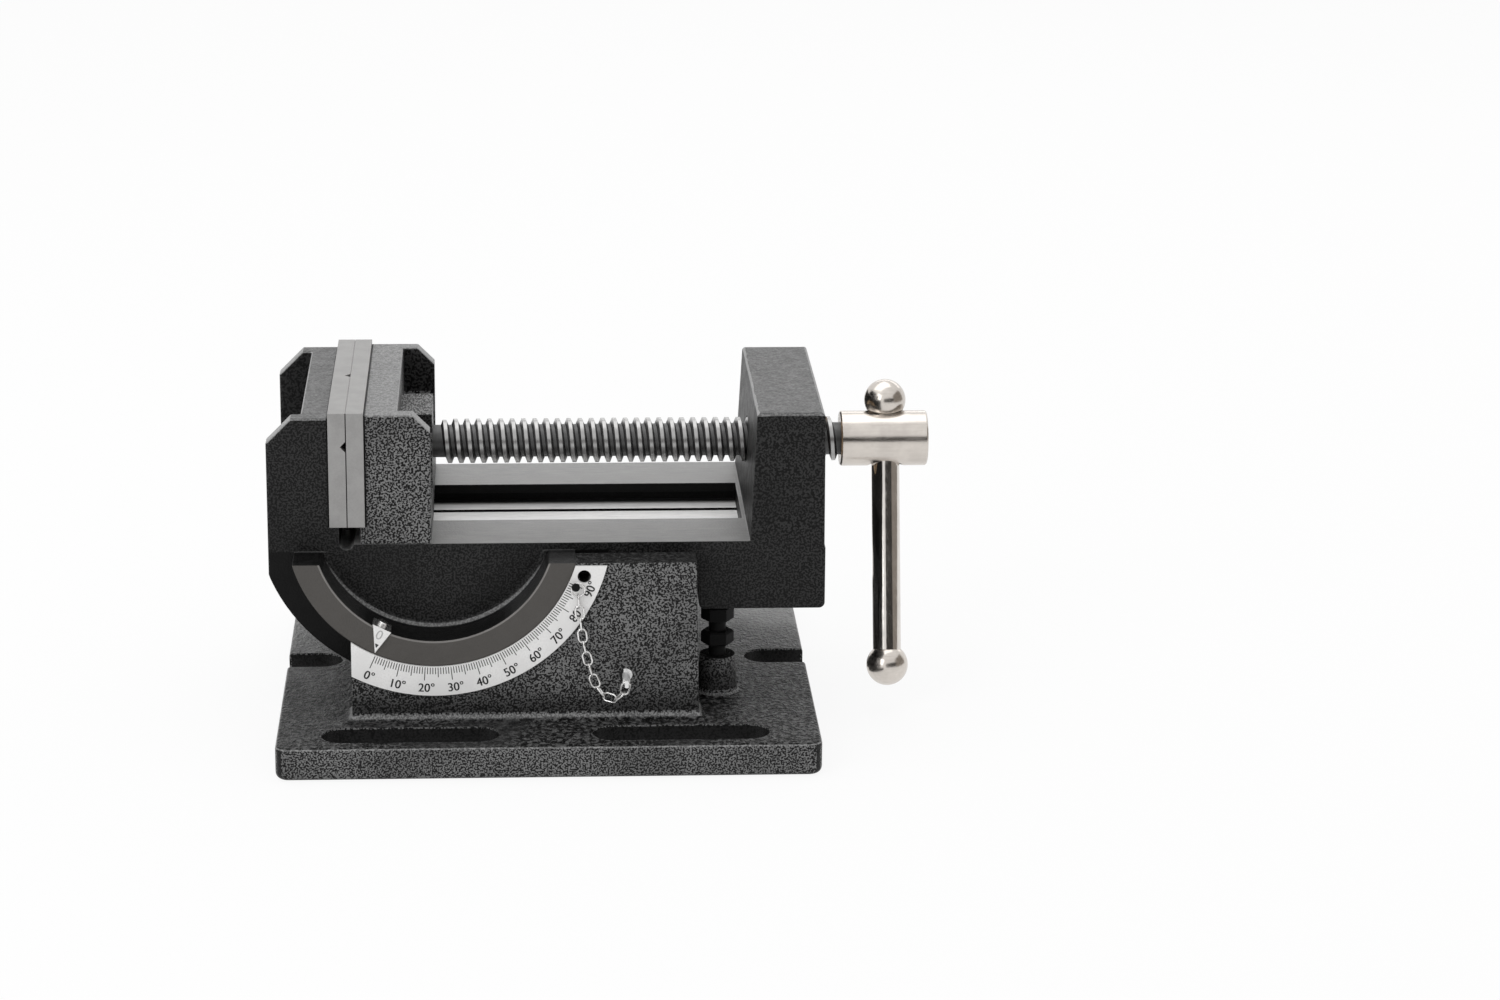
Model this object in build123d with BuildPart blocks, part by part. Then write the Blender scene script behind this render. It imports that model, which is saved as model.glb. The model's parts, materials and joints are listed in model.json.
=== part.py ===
from build123d import *
import os
from math import cos, radians, sin, sqrt

os.makedirs("parts", exist_ok=True)

# Origin: middle of the base's underside. +X runs along the spindle towards the handle,
# -Y faces the protractor side, +Z is up. Millimetres and degrees.

# Base plate and its bolt slots
base_left = 91.7
base_right = 93.8
base_depth = 186.6
base_thickness = 11.7
base_corner_radius = 4.6
base_edge_radius = 1.2
base_bottom_radius = 2.4
slot_length = 60.6
slot_width = 15.2
slot_spacing_x = 92.3
slot_spacing_y = 160.0
end_slot_inner = 72.0

# Tilt axis and the cradle walls that carry it
tilt_x = -37.7
tilt_z = 81.4
trunnion_radius = 50.1
trunnion_clearance = 0.08
wall_half_width = 65.0
wall_thickness = 11.6
wall_left_reach = 28.7
wall_right_reach = 90.6
wall_draft = 1.1
wall_soft_radius = 0.8
wall_height = 67.7
rear_drop = 2.5
foot_fillet = 3.0
web_thickness = 8.5
web_height = 48.0

# Protractor plate and the index holes beside it
scale_width = 10.42
scale_thickness = 1.0
scale_top_margin = 0.8
index_radius = 54.2
index_angle = 70.4
index_hole_diameter = 4.6
index_hole_depth = 6.0
tilt_range = 90.0

# Pointer on the trunnion face
pointer_base_radius = 40.6
pointer_base_left = -31.2
pointer_base_right = -21.6
pointer_tip_radius = 49.6
pointer_tip_angle = -24.6
pointer_thickness = 0.7
pointer_flange = 7.0
pointer_flange_thickness = 0.6
pointer_screw_setback = 4.2
pointer_screw_diameter = 1.8
pointer_screw_length = 4.6
pointer_screw_head = 3.8
pointer_screw_head_height = 1.1
pointer_screw_head_edge = 0.4

# Tilting body: bed, drum and trunnions
body_half_width = 49.4
drum_radius = 61.1
back_reach = 57.1
bed_drop = 11.06
bed_depth = 15.3
lower_step = 0.35
step_drop = 13.7
trunnion_rim = 8.8
recess_fillet = 2.5
sector_thickness = 12.0

# Slideway in the bed
channel_half_width = 22.0
channel_depth = 6.94
undercut_half_width = 26.0
undercut_height = 3.8
groove_inner = 10.8
groove_outer = 13.9
groove_depth = 1.6
channel_left = -62.4
channel_right = 69.6

# Fixed jaw on the body
fixed_face_reach = 29.85
plate_thickness = 6.0
plate_half_width = 50.8
plate_height = 40.5
plate_rise = 6.4
fixed_jaw_height = 44.7
jaw_wall = 9.5
cheek_thickness = 7.0
jaw_recess_rise = 8.0
fixed_chamfer = 8.6
seat_ledge = 3.1
relief_width = 5.0
relief_depth = 2.1
vee_width = 4.1
vee_depth = 1.9
vee_rise = 35.0
plate_gap = 0.1
plate_screw_offset = 30.0
plate_screw_rise = 20.5
plate_screw_diameter = 6.0
plate_screw_head = 12.0
plate_screw_reach = 8.0
plate_screw_key = 4.0
plate_screw_key_depth = 2.2

# End frame that holds the spindle nut
frame_inner_reach = 108.7
frame_outer_reach = 134.4
frame_height = 44.7
frame_lean = 2.2
frame_taper = 3.0
frame_edge_radius = 1.6
block_left_reach = 91.0
block_underside = 45.9
block_corner_radius = 2.0
block_wall = 6.0
block_recess_left = 68.0
jaw_soft_radius = 0.9

# Moving jaw
jaw_gap = 0.08
moving_jaw_height = 45.7
moving_wall = 11.5
moving_length = 22.6
moving_chamfer = 5.9
moving_ledge = 1.6
jaw_base_height = 9.6
boss_half_width = 14.0
boss_half_height = 13.6
tongue_clearance = 0.1
tongue_left = -58.0
tongue_right = -40.2
jaw_travel = 104.0
keeper_clearance = 0.1
keeper_thickness = 3.2
keeper_screw_setback = 0.3
keeper_screw_offset = 18.4
keeper_screw_diameter = 5.0
keeper_screw_head = 8.4
keeper_screw_head_height = 5.0
keeper_screw_key = 4.0
keeper_screw_key_depth = 2.6
keeper_screw_x = -44.4

# Spindle, nut, head and T-bar
spindle_rise = 22.7
thread_pitch = 4.0
thread_diameter = 15.7
thread_root_diameter = 11.5
thread_crest = 1.25
thread_foot = 3.05
thread_bury = 0.3
thread_clearance = 0.18
thread_runout = 1.5
thread_lead_in = 4.15
thread_end = 105.4
journal_diameter = 11.0
journal_clearance = 0.08
journal_end = -56.0
retainer_diameter = 3.0
retainer_groove = 8.0
retainer_clearance = 0.06
retainer_x = -44.6
retainer_length = 19.0
fit_gap = 0.02
nut_diameter = 25.0
nut_length = 18.7
frame_bore_diameter = 16.8
head_diameter = 19.6
head_length = 30.9
head_edge = 0.5
head_bore_depth = 8.6
t_bar_x = 121.7
t_bar_diameter = 10.0
t_bar_lean = 17.0
t_bar_clearance = 0.15
ball_diameter = 14.8
ball_seat = 13.6
ball_seat_clearance = 0.15
ball_spacing = 94.2

# Support screw under the end frame
support_x = 60.4
support_y = -37.4
support_boss_radius = 6.2
support_boss_foot = 7.2
support_boss_fillet = 2.2
support_boss_height = 13.9
support_diameter = 6.0
support_clearance = 0.08
support_flats = 10.0
support_head_height = 4.4
support_crown_radius = 3.4
support_contact_gap = 0.02
support_nut_bottom = 29.4
support_nut_height = 5.0
support_nut_edge = 0.7
support_screw_end = 14.0
support_head_rise = 13.0
support_hole_end = 4.0
support_tip_edge = 0.8
support_head_edge = 0.6

# Clamp screws through the rear wall
clamp_radius = 56.2
clamp_lower_angle = 24.0
clamp_upper_angle = 60.0
clamp_pad_radius = 8.5
clamp_pad_height = 2.0
clamp_diameter = 8.0
clamp_clearance = 0.06
clamp_flats = 13.0
clamp_head_height = 5.3
clamp_head_edge = 0.8
clamp_dog_diameter = 5.4
clamp_dog_depth = 2.6
clamp_groove_width = 6.2
clamp_groove_depth = 3.2
clamp_groove_margin = 2.0

# Index pin stowed in the front wall, and its chain
pin_x = 27.6
pin_z = 27.4
pin_diameter = 4.44
pin_length = 22.0
pin_tip_edge = 0.6
pin_tail_diameter = 2.6
pin_tail_length = 10.4
pin_eye_inset = 1.4
pin_eye_diameter = 1.7
pin_eye_length = 3.4
pin_eye_thickness = 1.3
link_wire = 0.6
link_length = 5.6
link_width = 3.6
link_count = 12
link_play = 0.1
ring_diameter = 5.2
ring_lean = 36.0
chain_screw_x = 10.4
chain_screw_z = 60.3
chain_screw_neck = 1.2
chain_screw_head = 2.8
chain_screw_head_height = 0.8
chain_screw_depth = 5.0
chain_standoff = 2.2
# How the chain hangs: (X, distance out from the scale plate, Z) of points along it
chain_hang = [
    (11.5, 2.2, 53.0),
    (12.0, 2.1, 48.0),
    (12.5, 2.1, 43.0),
    (13.2, 2.1, 38.8),
    (14.4, 2.1, 33.8),
    (15.6, 2.2, 29.4),
    (17.1, 2.7, 25.4),
    (19.1, 3.6, 22.2),
    (21.8, 4.9, 20.7),
    (24.6, 6.2, 21.3),
    (26.7, 7.3, 23.8),
]

overrun = 5.0
pick_margin = 1.0
screw_tip_gap = 1.0

# Places worked out from the sizes above
wall_inner = wall_half_width - wall_thickness
opening_radius = trunnion_radius + trunnion_clearance
scale_outer_radius = opening_radius + scale_width
bed_z = tilt_z - bed_drop
step_z = tilt_z - step_drop
bed_underside = bed_z - bed_depth
floor_z = bed_z - channel_depth
back_x = tilt_x - back_reach
fixed_face_x = tilt_x - fixed_face_reach
fixed_back_x = fixed_face_x - plate_thickness
moving_face_x = fixed_face_x + plate_gap
moving_back_x = moving_face_x + plate_thickness
moving_end_x = moving_back_x + moving_length
frame_inner_x = tilt_x + frame_inner_reach
frame_outer_x = tilt_x + frame_outer_reach
block_left_x = tilt_x + block_left_reach
plate_bottom = bed_z + plate_rise
plate_top = plate_bottom + plate_height
vee_z = bed_z + vee_rise
plate_screw_z = bed_z + plate_screw_rise
jaw_recess_z = bed_z + jaw_recess_rise
spindle_z = bed_z + spindle_rise
jaw_bottom = bed_z + jaw_gap
head_x = thread_end
nut_x = frame_outer_x - nut_length
eye_y = -(wall_half_width + pin_tail_length - pin_eye_inset)


def front_plane(y, x=0, z=0):
    # X to the right and Z up, so a positive extrusion comes forward
    return Plane(origin=(x, y, z), x_dir=(1, 0, 0), z_dir=(0, -1, 0))


def polar(radius, angle):
    # Angles run from straight down towards the handle
    return radius * sin(radians(angle)), -radius * cos(radians(angle))


def around_tilt(radius, angle):
    across, up = polar(radius, angle)
    return tilt_x + across, tilt_z + up


def disc(plane, radius, length, mode=Mode.ADD):
    with BuildSketch(plane) as profile:
        Circle(radius)
    extrude(profile.sketch, amount=length, mode=mode)


def ring(plane, outer, inner, length, mode=Mode.ADD):
    with BuildSketch(plane) as profile:
        Circle(outer)
        Circle(inner, mode=Mode.SUBTRACT)
    extrude(profile.sketch, amount=length, mode=mode)


def hexagon(plane, flats, length, mode=Mode.ADD):
    with BuildSketch(plane) as profile:
        RegularPolygon(flats / 2, side_count=6, major_radius=False)
    extrude(profile.sketch, amount=length, mode=mode)


def outline(plane, points, length, both=False, mode=Mode.ADD):
    with BuildSketch(plane) as profile:
        with BuildLine():
            Polyline(*points, close=True)
        make_face()
    extrude(profile.sketch, amount=length, both=both, mode=mode)


def block(x_span, y_span, z_span, mode=Mode.ADD):
    with BuildSketch(Plane.XY.offset(z_span[0])) as profile:
        with BuildLine():
            Polyline(
                (x_span[0], y_span[0]),
                (x_span[1], y_span[0]),
                (x_span[1], y_span[1]),
                (x_span[0], y_span[1]),
                close=True,
            )
        make_face()
    extrude(profile.sketch, amount=z_span[1] - z_span[0], mode=mode)


def save(piece, name):
    piece.part.label = name
    export_step(piece.part, f"parts/{name}.step")
    print(f"{name}: {len(piece.part.solids())} solid(s), {piece.part.volume:.0f} mm3")


# Base casting: slotted plate, two cradle walls, cross web, clamp pads and support boss
wall_left = tilt_x - wall_left_reach
wall_right = tilt_x + wall_right_reach
web_right = wall_right - 2 * wall_draft
index_x, index_z = around_tilt(index_radius, index_angle)
clamp_places = [around_tilt(clamp_radius, angle) for angle in (clamp_lower_angle, clamp_upper_angle)]

with BuildPart() as base_casting:
    with BuildSketch() as foot:
        with Locations(((base_right - base_left) / 2, 0)):
            RectangleRounded(base_left + base_right, base_depth, base_corner_radius)
    extrude(amount=base_thickness)
    fillet(base_casting.edges().group_by(Axis.Z)[-1], base_edge_radius)
    fillet(base_casting.edges().group_by(Axis.Z)[0], base_bottom_radius)
    for side, top in ((-1, wall_height), (1, wall_height - rear_drop)):
        wall_points = [
            (wall_left, base_thickness),
            (wall_right, base_thickness),
            (wall_right - wall_draft, top),
            (wall_left, top),
        ]
        outline(front_plane(side * wall_half_width), wall_points, side * wall_thickness)
    block(
        (web_right - web_thickness, web_right),
        (-wall_inner, wall_inner),
        (base_thickness, web_height),
    )
    feet = base_casting.edges().filter_by_position(Axis.Z, base_thickness - fit_gap, base_thickness + fit_gap)
    walls = [edge for edge in feet if wall_inner + pick_margin < abs(edge.center().Y) < wall_half_width + pick_margin]
    fillet(walls, foot_fillet)
    boss_plane = Plane(origin=(support_x, support_y, base_thickness))
    with Locations(boss_plane):
        Cone(
            support_boss_foot,
            support_boss_radius,
            support_boss_height,
            align=(Align.CENTER, Align.CENTER, Align.MIN),
        )
    circles = base_casting.edges().filter_by(GeomType.CIRCLE)
    circles = circles.filter_by_position(Axis.Z, base_thickness - fit_gap, base_thickness + fit_gap)
    fillet(circles.sort_by_distance(boss_plane.origin)[0], support_boss_fillet)
    for x, z in clamp_places:
        disc(front_plane(wall_half_width, x, z), clamp_pad_radius, -clamp_pad_height)
    for side in (-1, 1):
        plane = front_plane(side * (wall_half_width + overrun), tilt_x, tilt_z)
        disc(plane, opening_radius, side * (wall_thickness + 2 * overrun), Mode.SUBTRACT)
    with BuildSketch(Plane.XY.offset(-overrun)) as slots:
        with GridLocations(slot_spacing_x, slot_spacing_y, 2, 2):
            SlotOverall(slot_length, slot_width)
        for end in (-base_left, base_right):
            with Locations((end, 0)):
                SlotOverall(2 * (abs(end) - end_slot_inner), slot_width)
    extrude(amount=base_thickness + 2 * overrun, mode=Mode.SUBTRACT)
    screw_hole = Plane(origin=(support_x, support_y, support_hole_end))
    hole_radius = support_diameter / 2 + support_clearance
    disc(screw_hole, hole_radius, base_thickness + support_boss_height, Mode.SUBTRACT)
    for x, z in ((index_x, index_z), (pin_x, pin_z)):
        plane = front_plane(-wall_inner + overrun, x, z)
        disc(plane, index_hole_diameter / 2, wall_thickness + 2 * overrun, Mode.SUBTRACT)
    neck_hole = front_plane(-wall_half_width, chain_screw_x, chain_screw_z)
    disc(neck_hole, chain_screw_neck / 2 + fit_gap, -chain_screw_depth, Mode.SUBTRACT)
    for x, z in clamp_places:
        plane = front_plane(wall_half_width + overrun, x, z)
        disc(plane, clamp_diameter / 2 + clamp_clearance, wall_thickness + 2 * overrun, Mode.SUBTRACT)
save(base_casting, "base_casting")

# Protractor plate: a ring sector cut to the wall's left edge and top
scale_face = -(wall_half_width + scale_thickness)
scale_top = wall_height - scale_top_margin
with BuildPart() as scale_plate:
    plane = front_plane(-wall_half_width, tilt_x, tilt_z)
    ring(plane, scale_outer_radius, opening_radius, scale_thickness)
    keep_right = tilt_x + scale_outer_radius + overrun
    keep_bottom = tilt_z - scale_outer_radius - overrun
    keep_points = [
        (wall_left, keep_bottom),
        (keep_right, keep_bottom),
        (keep_right, scale_top),
        (wall_left, scale_top),
    ]
    outline(front_plane(-wall_half_width), keep_points, scale_thickness, mode=Mode.INTERSECT)
    for x, z, radius in (
        (index_x, index_z, index_hole_diameter / 2),
        (chain_screw_x, chain_screw_z, chain_screw_neck / 2 + fit_gap),
    ):
        disc(front_plane(-wall_half_width, x, z), radius, scale_thickness, Mode.SUBTRACT)
save(scale_plate, "scale_plate")

# Tilting body: bed, drum sectors, fixed jaw, end frame and trunnions in one casting
jaw_top = bed_z + fixed_jaw_height
frame_top_z = bed_z + frame_height
drum_right = tilt_x + sqrt(drum_radius**2 - (tilt_z - bed_underside) ** 2)
drum_back_z = tilt_z - sqrt(drum_radius**2 - back_reach**2)
relief_x = fixed_back_x + seat_ledge + relief_width / 2
relief_z = bed_z - relief_depth + relief_width / 2
recess_radius = trunnion_radius - trunnion_rim
trunnion_depth = wall_half_width - body_half_width
pointer_middle = (pointer_base_left + pointer_base_right) / 2
pointer_half_angle = (pointer_base_right - pointer_base_left) / 2
flange_radius = pointer_base_radius * cos(radians(pointer_half_angle))
flange_x, flange_z = around_tilt(flange_radius, pointer_middle)
pointer_screw_plane = Plane(
    origin=(flange_x, pointer_screw_setback - wall_half_width, flange_z),
    x_dir=(0, 1, 0),
    z_dir=(sin(radians(pointer_middle)), 0, -cos(radians(pointer_middle))),
)


def half_disc(plane, radius, length, drop, mode=Mode.ADD):
    with BuildSketch(plane) as profile:
        Circle(radius)
        with Locations((0, radius - drop)):
            Rectangle(2 * radius, 2 * radius, mode=Mode.SUBTRACT)
    extrude(profile.sketch, amount=length, mode=mode)


def soften_jaw(piece, radius):
    tops = piece.edges().filter_by_position(Axis.X, back_x - pick_margin, fixed_back_x - fit_gap)
    fillet(tops.filter_by_position(Axis.Z, jaw_recess_z, jaw_top + pick_margin), radius)


def add_end_frame():
    mid = (frame_inner_x + frame_outer_x) / 2
    length = frame_outer_x - frame_inner_x
    with BuildSketch(Plane.XY.offset(bed_z)) as low:
        with Locations((mid, 0)):
            Rectangle(length, 2 * body_half_width)
    with BuildSketch(Plane.XY.offset(frame_top_z)) as high:
        with Locations((mid + frame_lean / 2, 0)):
            Rectangle(length - frame_lean, 2 * (body_half_width - frame_taper))
    loft([low.sketch, high.sketch])


def cut_slideway():
    block(
        (channel_left, channel_right),
        (-channel_half_width, channel_half_width),
        (floor_z, bed_z + overrun),
        Mode.SUBTRACT,
    )
    block(
        (channel_left, channel_right),
        (-undercut_half_width, undercut_half_width),
        (floor_z, floor_z + undercut_height),
        Mode.SUBTRACT,
    )
    for side in (-1, 1):
        span = sorted((side * groove_inner, side * groove_outer))
        block((channel_left, channel_right), span, (floor_z - groove_depth, floor_z), Mode.SUBTRACT)
    block(
        (tongue_left - pick_margin, tongue_right + pick_margin),
        (-undercut_half_width, undercut_half_width),
        (bed_underside - overrun, floor_z + overrun / 2),
        Mode.SUBTRACT,
    )


def cut_clamp_groove(side, start, end):
    plane = front_plane(side * body_half_width, tilt_x, tilt_z)
    first, middle, last = (polar(clamp_radius, angle) for angle in (start, (start + end) / 2, end))
    with BuildSketch(plane) as profile:
        with BuildLine() as track:
            ThreePointArc(first, middle, last)
        SlotArc(track.wire(), clamp_groove_width)
    extrude(profile.sketch, amount=side * clamp_groove_depth, mode=Mode.SUBTRACT)


with BuildPart() as vise_body:
    with BuildSketch(front_plane(0)) as side_view:
        with BuildLine():
            Polyline(
                (back_x, drum_back_z),
                (back_x, jaw_top - fixed_chamfer),
                (back_x + fixed_chamfer, jaw_top),
                (fixed_back_x, jaw_top),
                (fixed_back_x, plate_bottom),
                (fixed_back_x + seat_ledge, plate_bottom),
                (fixed_back_x + seat_ledge, bed_z),
                (frame_outer_x, bed_z),
                (frame_outer_x, step_z),
                (frame_outer_x + lower_step, step_z),
                (frame_outer_x + lower_step, block_underside),
                (block_left_x, block_underside),
                (block_left_x, bed_underside),
                (drum_right, bed_underside),
            )
            ThreePointArc(
                (drum_right, bed_underside),
                (tilt_x, tilt_z - drum_radius),
                (back_x, drum_back_z),
            )
        make_face()
    extrude(amount=body_half_width, both=True)
    low_edges = vise_body.edges().filter_by(Axis.Y)
    low_edges = low_edges.filter_by_position(Axis.Z, block_underside - pick_margin, block_underside + pick_margin)
    fillet(low_edges, block_corner_radius)
    add_end_frame()
    frame_edges = vise_body.edges().filter_by_position(Axis.X, frame_inner_x, frame_outer_x)
    fillet(frame_edges.filter_by_position(Axis.Z, frame_top_z - pick_margin, frame_top_z + pick_margin), frame_edge_radius)
    block(
        (back_x - overrun, fixed_back_x - jaw_wall),
        (cheek_thickness - body_half_width, body_half_width - cheek_thickness),
        (jaw_recess_z, jaw_top + overrun),
        Mode.SUBTRACT,
    )
    soften_jaw(vise_body, jaw_soft_radius)
    sector_inner = body_half_width - sector_thickness
    block(
        (back_x - overrun, tilt_x + drum_radius),
        (-sector_inner, sector_inner),
        (tilt_z - drum_radius - overrun, bed_underside),
        Mode.SUBTRACT,
    )
    block(
        (block_recess_left, frame_outer_x - block_wall),
        (block_wall - body_half_width, body_half_width - block_wall),
        (block_underside - overrun, bed_underside),
        Mode.SUBTRACT,
    )
    for side, drop in ((-1, step_drop), (1, step_drop + rear_drop)):
        plane = front_plane(side * body_half_width, tilt_x, tilt_z)
        half_disc(plane, trunnion_radius, -side * trunnion_depth, drop)
        disc(plane, recess_radius, -side * trunnion_depth, Mode.SUBTRACT)
    floor_edges = [
        edge
        for edge in vise_body.edges().filter_by(GeomType.CIRCLE)
        if abs(edge.radius - recess_radius) < fit_gap and abs(abs(edge.center().Y) - body_half_width) < fit_gap
    ]
    fillet(floor_edges, recess_fillet)
    with BuildSketch(front_plane(0, relief_x, relief_z)) as relief:
        Circle(relief_width / 2)
    extrude(relief.sketch, amount=body_half_width, both=True, mode=Mode.SUBTRACT)
    cut_slideway()
    groove_start = clamp_lower_angle - tilt_range - clamp_groove_margin
    cut_clamp_groove(1, groove_start, clamp_upper_angle + clamp_groove_margin)
    for angle in (index_angle, index_angle - tilt_range):
        x, z = around_tilt(index_radius, angle)
        plane = front_plane(-body_half_width, x, z)
        disc(plane, index_hole_diameter / 2, -index_hole_depth, Mode.SUBTRACT)
    disc(pointer_screw_plane, pointer_screw_diameter / 2 + fit_gap, pointer_screw_length + fit_gap, Mode.SUBTRACT)
    for y in (-plate_screw_offset, plate_screw_offset):
        plane = Plane(origin=(fixed_back_x, y, plate_screw_z), z_dir=(-1, 0, 0))
        disc(plane, plate_screw_diameter / 2 + fit_gap, plate_screw_reach + screw_tip_gap, Mode.SUBTRACT)
    plane = Plane(origin=(frame_inner_x, 0, spindle_z), z_dir=(1, 0, 0))
    disc(plane, frame_bore_diameter / 2, frame_outer_x - frame_inner_x, Mode.SUBTRACT)
    plane = Plane(origin=(nut_x, 0, spindle_z), z_dir=(1, 0, 0))
    disc(plane, nut_diameter / 2 + fit_gap, nut_length + overrun, Mode.SUBTRACT)
save(vise_body, "vise_body")

# Pointer: a skewed white triangle on the trunnion rim, bent back over the rim's inner edge
def pointer_profile(inner_radius, outer_points):
    left = polar(inner_radius, pointer_base_left)
    right = polar(inner_radius, pointer_base_right)
    return [left, right, *outer_points]


with BuildPart() as pointer:
    plane = front_plane(-wall_half_width, tilt_x, tilt_z)
    tip = polar(pointer_tip_radius, pointer_tip_angle)
    outline(plane, pointer_profile(pointer_base_radius, [tip]), pointer_thickness)
    lip = [
        polar(pointer_base_radius + pointer_flange_thickness, angle)
        for angle in (pointer_base_right, pointer_base_left)
    ]
    outline(plane, pointer_profile(pointer_base_radius, lip), -pointer_flange)
    disc(pointer_screw_plane, pointer_screw_diameter / 2 + fit_gap, pointer_screw_length, Mode.SUBTRACT)
save(pointer, "pointer")

with BuildPart() as pointer_screw:
    disc(pointer_screw_plane, pointer_screw_head / 2, -pointer_screw_head_height)
    inner_rim = pointer_screw.edges().filter_by_position(Axis.Z, flange_z, tilt_z)
    fillet(inner_rim.sort_by_distance((tilt_x, -wall_half_width, tilt_z))[0], pointer_screw_head_edge)
    disc(pointer_screw_plane, pointer_screw_diameter / 2, pointer_screw_length - fit_gap)
save(pointer_screw, "pointer_screw")


# Jaw plates with countersunk screw holes
def plate_screw_planes(face_x, outward):
    return [
        Plane(origin=(face_x, y, plate_screw_z), x_dir=(0, 1, 0), z_dir=(outward, 0, 0))
        for y in (-plate_screw_offset, plate_screw_offset)
    ]


def countersunk(plane, gap, length, mode=Mode.ADD):
    head = plate_screw_head / 2
    shank = plate_screw_diameter / 2
    with BuildSketch(plane) as mouth:
        Circle(head + gap)
    with BuildSketch(plane.offset(shank - head)) as throat:
        Circle(shank + gap)
    loft([mouth.sketch, throat.sketch], mode=mode)
    disc(plane, shank + gap, -length, mode)


def jaw_plate(face_x, outward):
    back = face_x - outward * plate_thickness
    block(sorted((face_x, back)), (-plate_half_width, plate_half_width), (plate_bottom, plate_top))
    for plane in plate_screw_planes(face_x, outward):
        countersunk(plane, fit_gap, plate_thickness, Mode.SUBTRACT)


def plate_screws(face_x, outward):
    for plane in plate_screw_planes(face_x, outward):
        countersunk(plane.offset(-fit_gap), 0, plate_thickness + plate_screw_reach)
        hexagon(plane, plate_screw_key, -plate_screw_key_depth, Mode.SUBTRACT)


with BuildPart() as fixed_jaw_plate:
    jaw_plate(fixed_face_x, 1)
    vee = [(0, vee_width / 2), (-vee_depth, 0), (0, -vee_width / 2)]
    outline(front_plane(0, fixed_face_x, vee_z), vee, plate_half_width, both=True, mode=Mode.SUBTRACT)
    upright = Plane(origin=(fixed_face_x, 0, plate_bottom), x_dir=(1, 0, 0), z_dir=(0, 0, 1))
    outline(upright, vee, plate_height, mode=Mode.SUBTRACT)
save(fixed_jaw_plate, "fixed_jaw_plate")

with BuildPart() as fixed_plate_screws:
    plate_screws(fixed_face_x, 1)
save(fixed_plate_screws, "fixed_plate_screws")

with BuildPart() as moving_jaw_plate:
    jaw_plate(moving_face_x, -1)
save(moving_jaw_plate, "moving_jaw_plate")

with BuildPart() as moving_plate_screws:
    plate_screws(moving_face_x, -1)
save(moving_plate_screws, "moving_plate_screws")

# Moving jaw: wall, cheeks, spindle boss, base slab and the tongue that runs in the slideway
moving_top = bed_z + moving_jaw_height
moving_wall_x = moving_back_x + moving_wall
slab_top = bed_z + jaw_base_height
keeper_top = floor_z + undercut_height - keeper_clearance
retainer_y = (retainer_groove + retainer_diameter) / 2 + retainer_clearance
retainer_top = spindle_z + retainer_length / 2


def moving_screw_planes(z):
    return [Plane(origin=(keeper_screw_x, side * keeper_screw_offset, z)) for side in (-1, 1)]


with BuildPart() as moving_jaw:
    cheek_points = [
        (moving_back_x - moving_ledge, jaw_bottom),
        (moving_end_x, jaw_bottom),
        (moving_end_x, moving_top - moving_chamfer),
        (moving_end_x - moving_chamfer, moving_top),
        (moving_back_x, moving_top),
        (moving_back_x, plate_bottom),
        (moving_back_x - moving_ledge, plate_bottom),
    ]
    outline(front_plane(0), cheek_points, body_half_width, both=True)
    pocket_outer = body_half_width - cheek_thickness
    boss_top = spindle_z + boss_half_height
    overhead = moving_top + overrun
    for span in ((-pocket_outer, -boss_half_width), (boss_half_width, pocket_outer)):
        block((moving_wall_x, moving_end_x + overrun), span, (slab_top, overhead), Mode.SUBTRACT)
    between = (-boss_half_width, boss_half_width)
    block((moving_wall_x, moving_end_x + overrun), between, (boss_top, overhead), Mode.SUBTRACT)
    tops = moving_jaw.edges().filter_by_position(Axis.X, moving_back_x + pick_margin, moving_end_x + pick_margin)
    tops = tops.filter_by_position(Axis.Z, moving_top - moving_chamfer - pick_margin, moving_top + pick_margin)
    fillet(tops, jaw_soft_radius)
    tongue_half = channel_half_width - tongue_clearance
    block((tongue_left, tongue_right), (-tongue_half, tongue_half), (keeper_top, jaw_bottom))
    bore = Plane(origin=(moving_end_x, 0, spindle_z), z_dir=(-1, 0, 0))
    bore_length = moving_end_x - journal_end + journal_clearance
    disc(bore, journal_diameter / 2 + journal_clearance, bore_length, Mode.SUBTRACT)
    for y in (-retainer_y, retainer_y):
        plane = Plane(origin=(retainer_x, y, keeper_top))
        disc(plane, retainer_diameter / 2 + fit_gap, retainer_top - keeper_top, Mode.SUBTRACT)
    for plane in moving_screw_planes(slab_top):
        disc(plane, keeper_screw_diameter / 2 + fit_gap, keeper_top - slab_top, Mode.SUBTRACT)
    for plane in plate_screw_planes(moving_back_x, -1):
        disc(plane, plate_screw_diameter / 2 + fit_gap, -plate_screw_reach - screw_tip_gap, Mode.SUBTRACT)
save(moving_jaw, "moving_jaw")

with BuildPart() as keeper_plate:
    keeper_half = undercut_half_width - keeper_clearance * 4
    keeper_bottom = keeper_top - keeper_thickness
    block((tongue_left, tongue_right), (-keeper_half, keeper_half), (keeper_bottom, keeper_top))
    for plane in moving_screw_planes(keeper_top):
        disc(plane, keeper_screw_diameter / 2 + fit_gap, -keeper_thickness, Mode.SUBTRACT)
save(keeper_plate, "keeper_plate")

with BuildPart() as keeper_screws:
    for plane in moving_screw_planes(slab_top):
        disc(plane, keeper_screw_head / 2, keeper_screw_head_height)
        disc(plane, keeper_screw_diameter / 2, keeper_bottom + keeper_screw_setback - slab_top)
    for plane in moving_screw_planes(slab_top + keeper_screw_head_height):
        hexagon(plane, keeper_screw_key, -keeper_screw_key_depth, Mode.SUBTRACT)
save(keeper_screws, "keeper_screws")

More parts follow.
